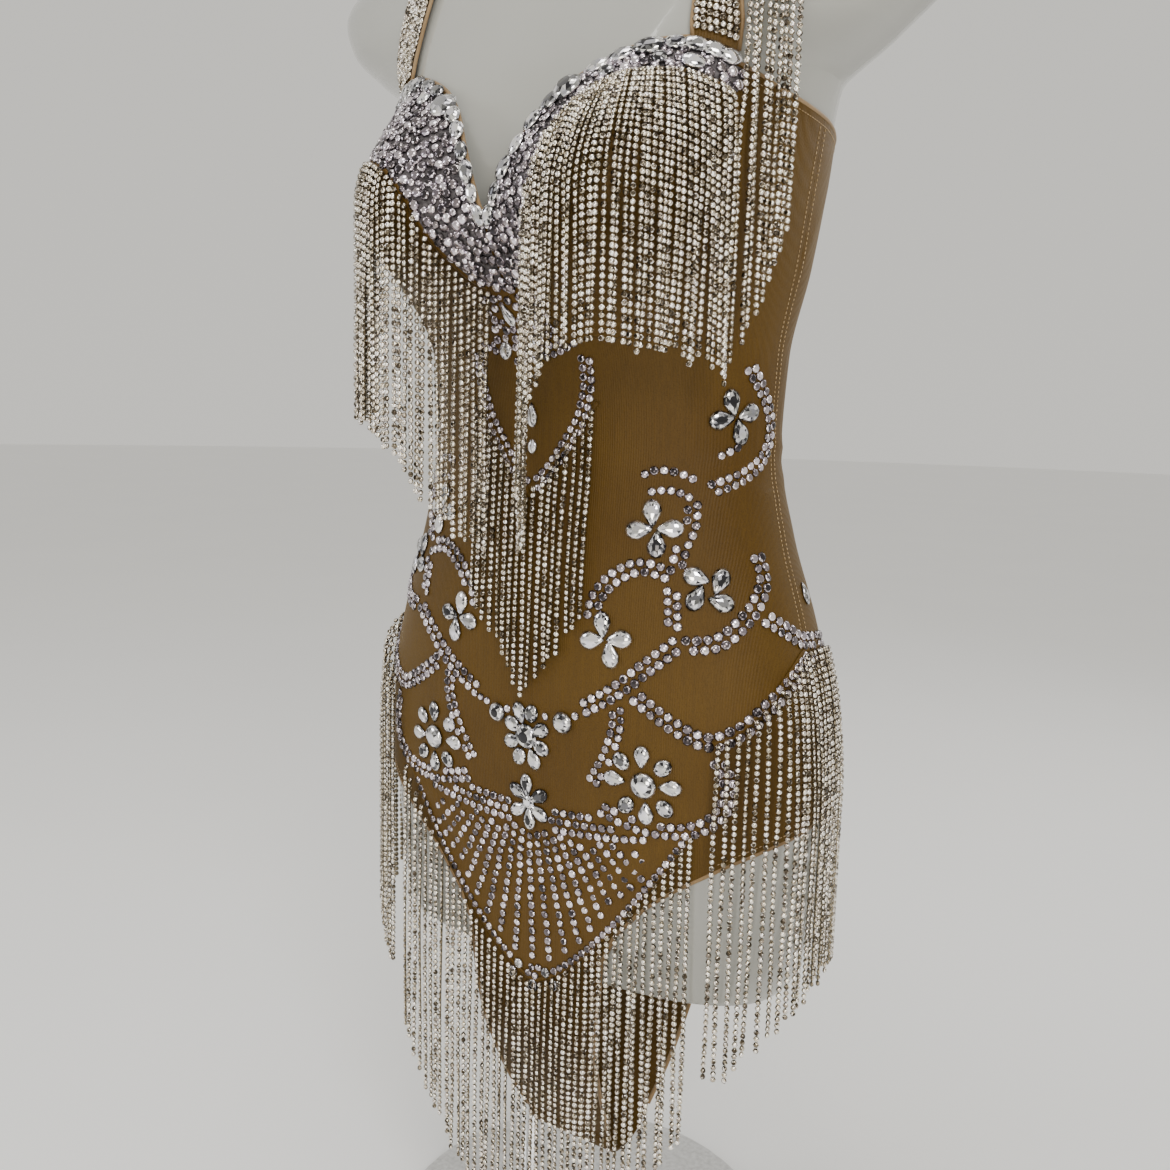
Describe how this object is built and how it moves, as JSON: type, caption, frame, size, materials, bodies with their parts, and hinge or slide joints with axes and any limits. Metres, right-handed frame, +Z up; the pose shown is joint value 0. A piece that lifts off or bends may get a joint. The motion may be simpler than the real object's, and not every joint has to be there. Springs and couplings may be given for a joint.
{
  "type": "fringed leotard-cut performance dress on a limbless torso dress form",
  "caption": "Tan mesh stage dress of leotard cut with a sweetheart neck, crystal crust, scrollwork and tiers of crystal chain fringe, worn by a glossy torso form on a round stand.",
  "frame": {"origin": "centre of the underside of the stand's round base, on the floor", "axes": "+Z up through the form; the dress faces -Y; +X is the wearer's left"},
  "size_m": [0.4968, 0.3125, 1.1],
  "materials": {
    "stretch_mesh": "tan stretch mesh with a soft satin sheen",
    "crystal_chain": "small round foiled stones in warm silver cups",
    "cut_crystal": "foil-backed faceted crystal in silver settings",
    "form_plastic": "glossy white moulded plastic",
    "stand_metal": "satin steel"
  },
  "bodies": {
    "root": {"front_panel": "stretch_mesh", "back_panel": "stretch_mesh", "gusset": "stretch_mesh", "cup_left": "stretch_mesh", "cup_right": "stretch_mesh", "strap_left": "stretch_mesh", "strap_right": "stretch_mesh", "fringe_cup_left": "crystal_chain", "fringe_cup_right": "crystal_chain", "fringe_waist_v": "crystal_chain", "fringe_hip_front": "crystal_chain", "fringe_hip_back": "crystal_chain", "fringe_shoulder_left": "crystal_chain", "flower_side_left": "cut_crystal", "flower_side_right": "cut_crystal", "flower_waist_left": "cut_crystal", "flower_waist_right": "cut_crystal", "flower_curl_left": "cut_crystal", "flower_curl_right": "cut_crystal", "flower_inner_left": "cut_crystal", "flower_inner_right": "cut_crystal", "flower_hip_left": "cut_crystal", "flower_hip_right": "cut_crystal", "flower_centre": "cut_crystal", "flower_lower": "cut_crystal", "form_torso": "form_plastic", "stand_pole": "stand_metal", "stand_base": "stand_metal"}
  },
  "joints": []
}
